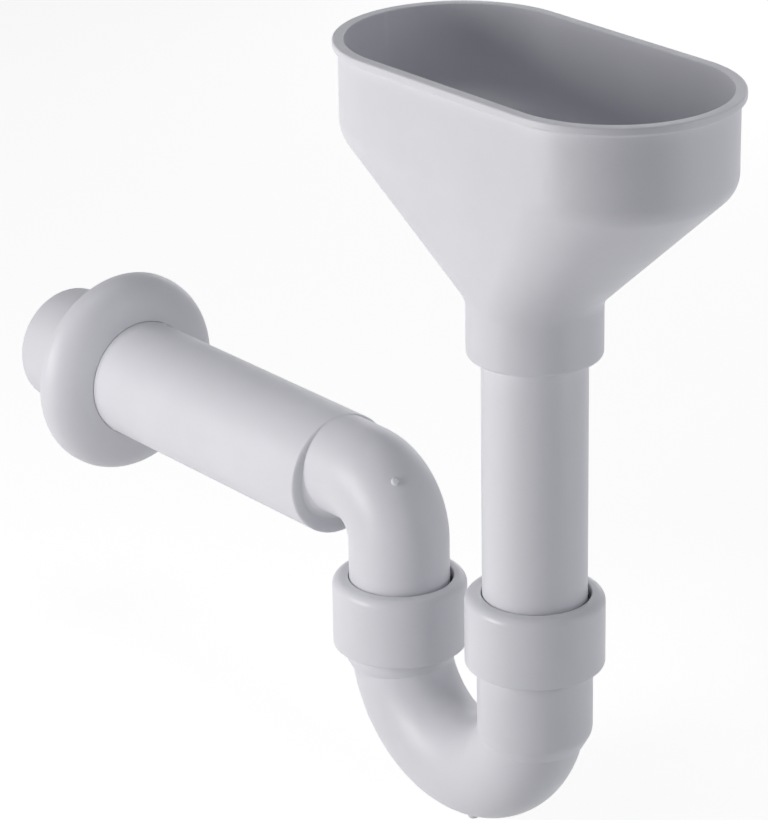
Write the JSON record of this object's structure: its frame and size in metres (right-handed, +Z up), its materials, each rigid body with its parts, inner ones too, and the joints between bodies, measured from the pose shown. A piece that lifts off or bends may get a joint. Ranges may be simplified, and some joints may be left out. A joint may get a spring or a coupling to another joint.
{
  "type": "washing machine standpipe trap",
  "caption": "Standpipe trap with an oval funnel on an upright tube, a screwed return bend and a side outlet pipe with a wall flange, for a washing machine drain hose.",
  "frame": {"origin": "on the outlet pipe's axis, in the back plane of the wall flange, where the outlet enters the wall", "axes": "+X away from the wall along the outlet pipe, +Z up along the standpipe, Y across the part, which is the same on both sides of Y = 0"},
  "size_m": [0.3953, 0.0928, 0.3208],
  "materials": {
    "white_plastic": "satin moulded polypropylene, cool pale grey",
    "seal_rubber": "smooth moulded rubber"
  },
  "bodies": {
    "root": {"funnel": "white_plastic", "funnel_seal": "seal_rubber", "standpipe": "white_plastic", "inlet_nut": "white_plastic", "inlet_seal": "seal_rubber", "trap_bend": "white_plastic", "outlet_nut": "white_plastic", "outlet_seal": "seal_rubber", "outlet_bend": "white_plastic", "wall_flange": "white_plastic"}
  },
  "joints": []
}
